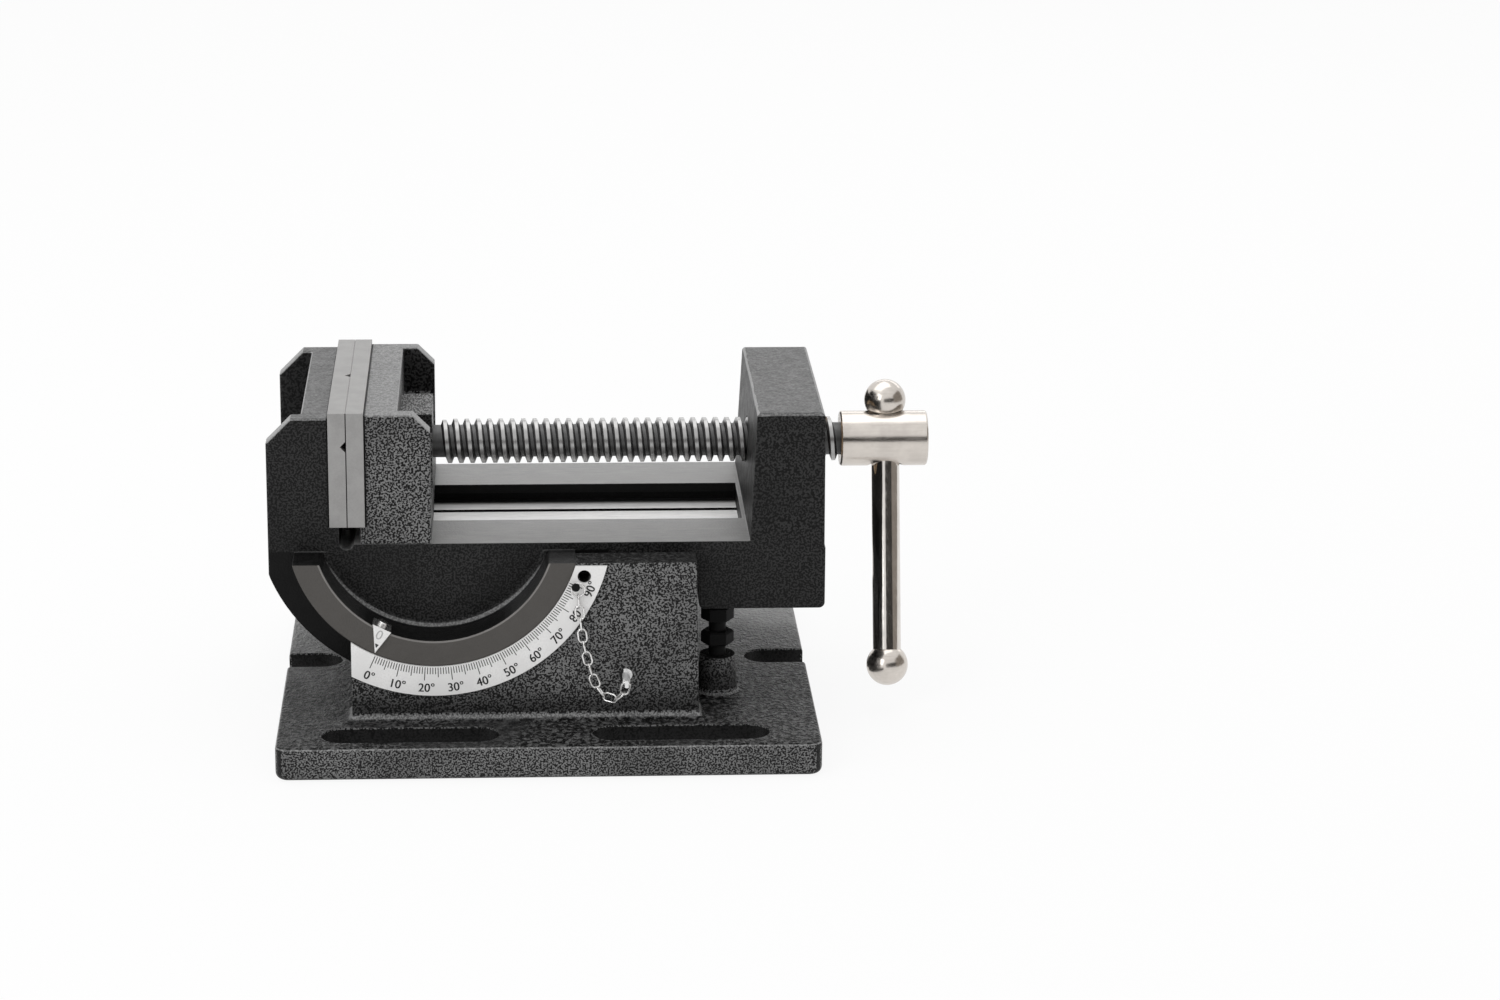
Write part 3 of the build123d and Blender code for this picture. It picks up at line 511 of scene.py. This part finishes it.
def bodyPaint(values, cuts):
    finish = Casting("bodyPaint", values, "body")
    skin, side, steel = cuts["skin"], abs(finish.y), cuts["steelWarm"]
    up = finish.up > 0.9
    rails = up * finish.z.near(cuts["bedZ"], skin)
    inWay = side < cuts["wayHalf"]
    slide = up * finish.z.near(cuts["floorZ"], skin) * inWay
    way = inWay * finish.z.between(cuts["wayFoot"], cuts["bedZ"] - cuts["wayDrop"]) * (1 - slide)
    band = side > cuts["bandFace"] - skin
    ledge = side > cuts["side"] + cuts["sideSkin"]  # the trunnions' flat tops
    right, high = finish.x - tilt.x, finish.z - tilt.z
    radius = (right * right + high * high).maths("SQRT")
    ring = radius < cuts["ringInner"] + cuts["ringLip"]
    ring = (side > cuts["side"] + cuts["ringStart"]) * ring
    drum = (side > cuts["side"] - cuts["sideSkin"]) * (finish.z < cuts["stepZ"])
    drum = drum * radius.between(cuts["trunnion"], cuts["drum"] + skin)
    # painted shade on the end frame's inner face, fading out upward
    inside = (finish.across < -0.7) * (finish.x > cuts["frameInner"])
    inside = inside * finish.z.ease(*cuts["frameFade"], 1.0, 0.0)

    colour = finish.paint(finish.grain, finish.flat * (1 - ledge))
    colour = finish.mix(finish.chamfers(), colour, finish.chamferShade)
    # painted shade where little light reaches: the plates' seat line, the channel's walls, the
    # drum's sides, the trunnion recess, the frame's inner face and the trunnions' flat tops
    paintedShade = finish.seam(cuts["seatX"]).most(
        way, drum * 0.97, inside * 0.85, ring * 0.85, ledge * up * 0.6
    )
    colour = finish.mix(paintedShade, colour, finish.shadow)

    milled = finish.noise(900, 2.0, 0.6, stretch=(0.12, 1.0, 1.0))
    mottle = finish.noise(160, 3.0, 0.6).ease(0.3, 0.7, 0.82, 1.12)
    railDark, railLight = grey(cuts["railShade"] * 0.75), grey(cuts["railShade"] * 1.3, steel)
    railColour = finish.mix(milled * mottle, railDark, railLight)
    lipEdge = side.between(cuts["lip"], cuts["lip"] + cuts["lipWidth"])
    lip = side.between(cuts["wayHalf"], cuts["lip"]) * 0.5 + lipEdge
    railColour = finish.mix(lip, railColour, grey(cuts["lipShade"], steel))
    floorDark, floorLight = grey(cuts["floorShade"] * 0.8), grey(cuts["floorShade"] * 1.15, steel)
    floorColour = finish.mix(milled, floorDark, floorLight)
    # painted shade on the slide floor toward the channel's walls, under the rails
    overhangShadowColour = grey(cuts["overhangShadow"], steel)
    floorColour = finish.mix(side.ease(*cuts["footFade"]), floorColour, overhangShadowColour)
    bandEnds = span(cuts["bandShade"], 0.9, 1.2, cuts["bandWarm"])
    bandColour = finish.mix(mottle * 0.5, *bandEnds)
    bandColour = finish.mix(ring * mottle, bandColour, grey(cuts["ringRim"], 0.04))
    colour = finish.mix(rails, colour, railColour)
    colour = finish.mix(slide, colour, floorColour)
    colour = finish.mix(band, colour, bandColour)

    wires = finish.wires(colour)
    bare = rails.most(slide)
    wires["Roughness"] = wires["Roughness"] * (1 - bare) + bare * (0.38 + milled * 0.12)
    wires["Metallic"] = bare * 0.4 + band * 0.2
    return finish.plug(wires)


jawDetail = {
    "seatX": -0.06145,
    "topFoot": 0.11,
    "bossTop": 0.10664,
    "bossSkin": 0.0003,
    "bossStretch": (1.0, 0.34, 1.0),
    "wing": -0.03,  # inner faces behind this lie in the far wing's shade
    "wingFoot": 0.1,
}


def jawPaint(values, detail):
    finish = Casting("jawPaint", values, "jaw")
    look = finish.look
    colour = finish.paint(finish.grain, finish.flat * (finish.z > detail["topFoot"]))
    coarse = finish.wormField(detail["bossStretch"])
    speckle = finish.mix(coarse, grey(look["dark"]), grey(look["light"]))
    bossTop = finish.flat * finish.z.near(detail["bossTop"], detail["bossSkin"])
    colour = finish.mix(bossTop, colour, speckle)
    colour = finish.mix(finish.chamfers(), colour, finish.chamferShade)
    shaded = (finish.out < -0.7) * (finish.y > detail["wing"]) * (finish.z > detail["wingFoot"])
    shaded = (shaded * 0.85).most(finish.seam(detail["seatX"]))
    colour = finish.mix(shaded, colour, finish.shadow)
    return finish.plug(finish.wires(colour))


dress(basePaint(castingLook, baseDetail), "base_casting")
dress(bodyPaint(castingLook, bodyMachined), "vise_body")
dress(jawPaint(castingLook, jawDetail), "moving_jaw")

metalLook = {
    "groundPlate": {
        "shade": 0.33, "warm": 0.015, "rough": 0.40, "metal": 0.4,
        "lay": (1.0, 0.06, 1.0), "grain": 1400, "depth": 0.12,
        "seam": (-0.0675, 0.00018),
    },
    "machinedPart": {
        "shade": 0.32, "warm": 0.01, "rough": 0.36, "metal": 0.95,
        "lay": (0.08, 1.0, 1.0), "grain": 1100, "depth": 0.15,
    },
    "blackScrew": {
        "shade": 0.013, "warm": 0.0, "rough": 0.5, "metal": 0.0,
        "lay": (1.0, 1.0, 1.0), "grain": 900, "depth": 0.15,
    },
    "satinNickel": {
        "shade": 0.58, "warm": 0.075, "rough": 0.19, "metal": 1.0,
        "lay": (0.06, 1.0, 1.0), "grain": 1500, "depth": 0.06,
    },
    "brightChrome": {
        "shade": 0.66, "warm": 0.05, "rough": 0.09, "metal": 1.0,
        "lay": (1.0, 1.0, 0.1), "grain": 1200, "depth": 0.01,
    },
    "chainSteel": {
        "shade": 0.82, "warm": 0.01, "rough": 0.22, "metal": 1.0,
        "lay": (1.0, 1.0, 1.0), "grain": 1600, "depth": 0.08,
    },
    "nutBronze": {
        "shade": 0.36, "warm": 0.32, "rough": 0.34, "metal": 0.95,
        "lay": (1.0, 0.2, 0.2), "grain": 1200, "depth": 0.12,
    },
}
metalIor = 1.12
markDepth = 0.0001  # the reach of every fine bump


def metalFinish(name, look):
    # fine tool marks along one direction, slow tone changes and lighter edges
    finish = Finish(name, {"Metallic": look["metal"], "IOR": metalIor})
    marks = finish.noise(look["grain"], 2.0, 0.6, stretch=look["lay"])
    tone = finish.noise(120, 3.0, 0.6).ease(0.3, 0.7)
    shade, warm = look["shade"], look["warm"]
    colour = finish.mix(marks * 0.6 + tone * 0.4, *span(shade, 0.82, 1.16, warm))
    soft = finish.rounded(0.0003)
    colour = finish.mix(finish.edges(soft), colour, grey(min(1, shade * 1.5 + 0.04), warm))
    if "seam" in look:  # painted shadow where the closed plates meet, on their ends only
        place, wide = look["seam"]
        seamShadow = (abs(finish.x - place) < wide) * (abs(finish.out) > 0.7)
        colour = finish.mix(seamShadow, colour, grey(0.01))
    rough = look["rough"] + marks.ease(0.2, 0.8, -0.04, 0.06) + tone * 0.03
    normal = finish.bump(marks, look["depth"], markDepth, soft)
    return finish.plug({"Base Color": colour, "Roughness": rough, "Normal": normal})


metals = {name: metalFinish(name, look) for name, look in metalLook.items()}

pinLook = {"shoulder": -0.0652, "shaded": 0.0268, "holeShadow": 0.012, "metal": 0.35}


def pinFinish(values):
    # bright tail; a painted shade darkens the body's left side, which sits in the dark of its
    # hole
    look = metalLook["chainSteel"]
    finish = Finish("indexPin", {"Metallic": values["metal"]})
    marks = finish.noise(look["grain"])
    inHoleShade = (finish.y > values["shoulder"]) * (finish.x < values["shaded"])
    colour = finish.mix(marks, *span(look["shade"], 0.85, 1.2))
    colour = finish.mix(inHoleShade, colour, grey(values["holeShadow"]))
    rough = look["rough"] + marks * 0.06 + inHoleShade * 0.3
    normal = finish.bump(marks, 0.1, markDepth)
    return finish.plug({"Base Color": colour, "Roughness": rough, "Normal": normal})


dress(pinFinish(pinLook), "index_pin")
dress(metals["groundPlate"], "fixed_jaw_plate", "moving_jaw_plate")
dress(metals["machinedPart"], "keeper_plate", "spindle_retainers")
dress(metals["blackScrew"], "chain_screw", "support_screw", "support_lock_nut", "keeper_screws")
dress(metals["blackScrew"], "clamp_screw_lower", "clamp_screw_upper")
dress(metals["blackScrew"], "fixed_plate_screws", "moving_plate_screws")
dress(metals["satinNickel"], "spindle_head", "t_bar_balls")
dress(metals["brightChrome"], "t_bar")
dress(metals["chainSteel"], "chain_ring", "chain", "pointer_screw")
dress(metals["nutBronze"], "spindle_nut")

threadLook = {
    "axisZ": 0.09304,
    "root": 0.0058,
    "crest": 0.0077,
    "crestMargin": 0.0004,
    "rootShade": 0.08,
    "crestShade": 0.46,
    "markShade": 0.20,
    "warm": 0.01,
    "rough": 0.42,
    "metal": 0.95,
    "lay": (1.0, 0.3, 0.3),
    "grain": 1300,
    "depth": 0.12,
}


def threadFinish(values):
    # dark roots, a painted shade in the grooves; pale crests, partly rubbed metal and partly a
    # painted highlight
    finish = Finish("spindleThread", {"Metallic": values["metal"]})
    height = finish.z - values["axisZ"]
    radius = (finish.y * finish.y + height * height).maths("SQRT")
    margin = values["crestMargin"]
    rubbedAndLit = radius.ease(values["root"] + margin, values["crest"] - margin)
    marks = finish.noise(values["grain"], 2.0, 0.6, stretch=values["lay"])
    crest = grey(values["crestShade"], values["warm"])
    colour = finish.mix(rubbedAndLit, grey(values["rootShade"]), crest)
    colour = finish.mix(marks * 0.5, colour, grey(values["markShade"]))
    rough = values["rough"] - rubbedAndLit * 0.16 + marks * 0.06
    normal = finish.bump(marks, values["depth"], markDepth)
    return finish.plug({"Base Color": colour, "Roughness": rough, "Normal": normal})


dress(threadFinish(threadLook), "spindle")

enamelLook = {
    "shade": 0.86,
    "warm": 0.008,
    "rough": 0.42,
    "ior": 1.45,
    "edgeRadius": 0.00015,
    "pointerFace": -0.0656,
    "flangeShade": 0.62,
}


def enamelFinish(name, values, flange=False):
    finish = Finish(name, {"IOR": values["ior"]})
    tone = finish.noise(60, 3.0).ease(0.3, 0.7)
    speck = finish.noise(1500, 1.0).ease(0.25, 0.6)
    colour = finish.mix(tone * speck, *span(values["shade"], 0.93, 1.04, values["warm"]))
    rough = values["rough"] + speck * 0.08
    soft = finish.rounded(values["edgeRadius"])
    wires = {"Normal": finish.bump(speck, 0.06, markDepth, soft)}
    if flange:  # the bent lip behind the face is bare metal
        bare = finish.y > values["pointerFace"]
        colour = finish.mix(bare, colour, grey(values["flangeShade"], 0.01))
        rough = rough - bare * 0.2
        wires["Metallic"] = bare * 0.95
    wires.update({"Base Color": colour, "Roughness": rough})
    return finish.plug(wires)


dress(enamelFinish("scaleEnamel", enamelLook), "scale_plate")
dress(enamelFinish("pointerEnamel", enamelLook, flange=True), "pointer")


def inkFinish(name, shade):
    finish = Finish(name)
    speck = finish.noise(2600).ease(0.3, 0.7)
    colour = finish.mix(speck, grey(shade * 0.8), grey(shade * 1.3 + 0.004))
    return finish.plug({"Base Color": colour, "Roughness": 0.45 + speck * 0.15})


blackInk = inkFinish("blackInk", 0.02)
greyInk = inkFinish("greyInk", 0.42)
print("finishes made:", len(bpy.data.materials))


def newTree(name, inputs):
    tree = bpy.data.node_groups.new(name, "GeometryNodeTree")
    sockets = [("Geometry", "INPUT", "Geometry")]
    sockets += [(label, "INPUT", kind) for label, kind in inputs.items()]
    sockets.append(("Geometry", "OUTPUT", "Geometry"))
    for label, side, kind in sockets:
        tree.interface.new_socket(name=label, in_out=side, socket_type="NodeSocket" + kind)
    return Wire(tree, tree.nodes.new("NodeGroupInput").outputs[0])


def endTree(start, instances, material):
    real = start.node("GeometryNodeRealizeInstances", sockets={0: instances})
    sockets = {"Geometry": real, "Material": material}
    done = start.node("GeometryNodeSetMaterial", sockets=sockets)
    end = start.tree.nodes.new("NodeGroupOutput")
    start.tree.links.new(done.socket, end.inputs[0])
    return start.tree


def plainMesh(holder):
    grown = holder.evaluated_get(bpy.context.evaluated_depsgraph_get())
    return bpy.data.meshes.new_from_object(grown)


def grow(name, tree, values, seed=None):
    # runs the tree once and keeps its result as a plain mesh
    holder = placed(name, seed or bpy.data.meshes.new(name + "Seed"))
    modifier = holder.modifiers.new("grow", "NODES")
    modifier.node_group = tree
    for item in tree.interface.items_tree:
        if item.in_out == "INPUT" and item.name in values:
            modifier[item.identifier] = values[item.name]
    result = plainMesh(holder)
    holder.modifiers.clear()
    holder.data = result
    result.name = name
    return holder


scaleTicks = {
    "Count": 91,
    "First Angle": -24.0,
    "Step": 1.0,
    "Radius": 0.0504,
    "Short": 0.0024,
    "Middle": 0.0035,
    "Long": 0.0047,
    "Width": 0.00029,
    "Thickness": 0.00006,
    "Face": -0.066,
}


def tickTree():
    kinds = {name: "Int" if name == "Count" else "Float" for name in scaleTicks}
    start = newTree("scaleTicks", kinds)
    given = {name: start.output(name) for name in kinds}
    sockets = {"Count": given["Count"], "Offset": (0, 0, 0)}
    line = start.node("GeometryNodeMeshLine", sockets=sockets)
    index = start.node("GeometryNodeInputIndex")
    angle = (given["First Angle"] + index * given["Step"]) * radians(1)
    fifth = index.maths("MODULO", 5.0) < 0.5
    tenth = index.maths("MODULO", 10.0) < 0.5
    length = given["Short"] + fifth * (given["Middle"] - given["Short"])
    length = length + tenth * (given["Long"] - given["Middle"])
    across = angle.maths("SINE") * given["Radius"] + tilt.x
    height = tilt.z - angle.maths("COSINE") * given["Radius"]
    combine = "ShaderNodeCombineXYZ"
    spot = start.node(combine, sockets={0: across, 1: given["Face"], 2: height})
    points = start.node("GeometryNodeSetPosition", sockets={"Geometry": line, "Position": spot})
    bar = start.node("GeometryNodeMeshCube", sockets={"Size": (1, 1, 1)})
    sockets = {"Geometry": bar, "Translation": (0, 0, -0.5)}  # hangs from the tick's inner end
    bar = start.node("GeometryNodeTransform", sockets=sockets)
    turn = start.node(combine, sockets={1: angle * -1.0})
    size = start.node(combine, sockets={0: given["Width"], 1: given["Thickness"], 2: length})
    sockets = {"Points": points, "Instance": bar, "Rotation": turn, "Scale": size}
    marks = start.node("GeometryNodeInstanceOnPoints", sockets=sockets)
    return endTree(start, marks, blackInk)


ticks = grow("scaleTicks", tickTree(), scaleTicks)
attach(ticks, "base")
print("ticks grown:", len(ticks.data.polygons), "faces")

chainLinks = {
    "joints": [  # where each link hangs in the next, from ring to pin, in millimetres
        (11.19, -68.2, 57.26), (11.49, -68.2, 53.07), (11.91, -68.11, 48.89),
        (12.31, -68.09, 44.71), (12.87, -68.1, 40.55), (13.74, -68.1, 36.44),
        (14.77, -68.11, 32.37), (15.94, -68.29, 28.35), (17.52, -68.88, 24.51),
        (20.03, -70.05, 21.42), (23.68, -71.77, 20.87), (26.53, -73.2, 23.46),
        (27.6, -74.0, 27.4),
    ],
    "sizes": {"Link Length": 0.0056, "Link Width": 0.0036, "Wire": 0.00074},
    "cornerSteps": 7,
    "wireSides": 10,
}


def chainTree(values):
    start = newTree("chainLinks", {name: "Float" for name in values["sizes"]})
    wire = start.output("Wire")
    length, width = start.output("Link Length") - wire, start.output("Link Width") - wire
    sockets = {"Width": length, "Height": width}
    oval = start.node("GeometryNodeCurvePrimitiveQuadrilateral", sockets=sockets)
    sockets = {"Curve": oval, "Radius": width * 0.499, "Count": values["cornerSteps"]}
    oval = start.node("GeometryNodeFilletCurve", {"mode": "POLY"}, sockets)
    sockets = {"Resolution": values["wireSides"], "Radius": wire * 0.5}
    profile = start.node("GeometryNodeCurvePrimitiveCircle", sockets=sockets)
    sockets = {"Curve": oval, "Profile Curve": profile}
    link = start.node("GeometryNodeCurveToMesh", sockets=sockets)
    link = start.node("GeometryNodeSetShadeSmooth", sockets={0: link})
    settings = {"data_type": "FLOAT_VECTOR"}
    along, face = (
        start.node("GeometryNodeInputNamedAttribute", settings, {"Name": name})
        for name in ("along", "face")
    )
    settings = {"primary_axis": "X", "secondary_axis": "Z"}
    turn = start.node("FunctionNodeAxesToRotation", settings, {0: along, 1: face})
    sockets = {"Points": start, "Instance": link, "Rotation": turn}
    links = start.node("GeometryNodeInstanceOnPoints", sockets=sockets)
    return endTree(start, links, metals["chainSteel"])


def makeChain(values):
    spots = [Vector(spot) / 1000 for spot in values["joints"]]
    pairs = list(zip(spots, spots[1:]))
    seed = bpy.data.meshes.new("chainSeed")
    seed.from_pydata([(first + last) / 2 for first, last in pairs], [], [])
    along = seed.attributes.new("along", "FLOAT_VECTOR", "POINT")
    face = seed.attributes.new("face", "FLOAT_VECTOR", "POINT")
    for index, (first, last) in enumerate(pairs):
        way = (last - first).normalized()
        out = Vector((0, -1, 0))
        out = (out - way * out.dot(way)).normalized()
        along.data[index].vector = way
        face.data[index].vector = out if index % 2 else way.cross(out)
    return grow("chainLinks", chainTree(values), values["sizes"], seed)


chain = makeChain(chainLinks)
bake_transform(chain)
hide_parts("chain")
print("chain grown:", len(chain.data.polygons), "faces")


def writing(text, size, thickness, material):
    data = bpy.data.curves.new("writing", "FONT")
    data.body, data.size, data.extrude = text, size, thickness
    data.align_x, data.align_y = "CENTER", "CENTER"
    holder = placed("writing", data)
    mesh = plainMesh(holder)
    bpy.data.objects.remove(holder)
    mesh.materials.clear()
    mesh.materials.append(material)
    return mesh


def onFace(radius, angle, face):
    # sets flat writing upright on the front face, its foot away from the axis
    turn = radians(angle)
    spot = Vector((tilt.x + radius * sin(turn), face, tilt.z - radius * cos(turn)))
    upright = Matrix.Rotation(radians(90), 4, "X")
    return Matrix.Translation(spot) @ Matrix.Rotation(-turn, 4, "Y") @ upright


def joined(name, meshes):
    pieces = [placed(name, mesh) for mesh in meshes]
    with bpy.context.temp_override(active_object=pieces[0], selected_editable_objects=pieces):
        bpy.ops.object.join()
    return pieces[0]


numerals = {
    "size": 0.0043,
    "radius": 0.0579,
    "first": -23.1,
    "face": -0.06603,
    "thickness": 0.00003,
    "spread": 0.96,
    "weight": 0.00007,
}


def makeNumerals(values):
    meshes = []
    for number in range(0, 100, 10):
        for side in (-1, 1):  # struck twice, a hair apart, for bolder strokes
            mesh = writing(f"{number}°", values["size"], values["thickness"], blackInk)
            mesh.transform(Matrix.Scale(values["spread"], 4, (1, 0, 0)))
            mesh.transform(Matrix.Translation((side * values["weight"], 0, 0)))
            mesh.transform(onFace(values["radius"], values["first"] + number, values["face"]))
            meshes.append(mesh)
    return joined("scaleNumerals", meshes)


figures = makeNumerals(numerals)
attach(figures, "base")

pointerMarks = {
    "figureSize": 0.0048,
    "figureRadius": 0.0431,
    "figureAngle": -26.2,
    "figureThickness": 0.00002,
    "arrow": [(0.0463, -26.3), (0.0463, -24.5), (0.0477, -25.1)],
    "arrowThickness": 0.00005,
    "face": -0.06573,
}


def makePointerMarks(values):
    figure = writing("0", values["figureSize"], values["figureThickness"], greyInk)
    figure.transform(onFace(values["figureRadius"], values["figureAngle"], values["face"]))
    corners = []
    for depth in (0.0, values["arrowThickness"]):
        for radius, angle in values["arrow"]:
            turn = radians(angle)
            across, height = radius * sin(turn), radius * cos(turn)
            corners.append((tilt.x + across, values["face"] + depth, tilt.z - height))
    arrow = bpy.data.meshes.new("arrow")
    faces = [(0, 2, 1), (3, 4, 5), (0, 1, 4, 3), (1, 2, 5, 4), (2, 0, 3, 5)]
    arrow.from_pydata(corners, [], faces)
    arrow.materials.append(blackInk)
    return joined("pointerMarks", [figure, arrow])


marks = makePointerMarks(pointerMarks)
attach(marks, "tilting_body")
print("numbers and marks made")
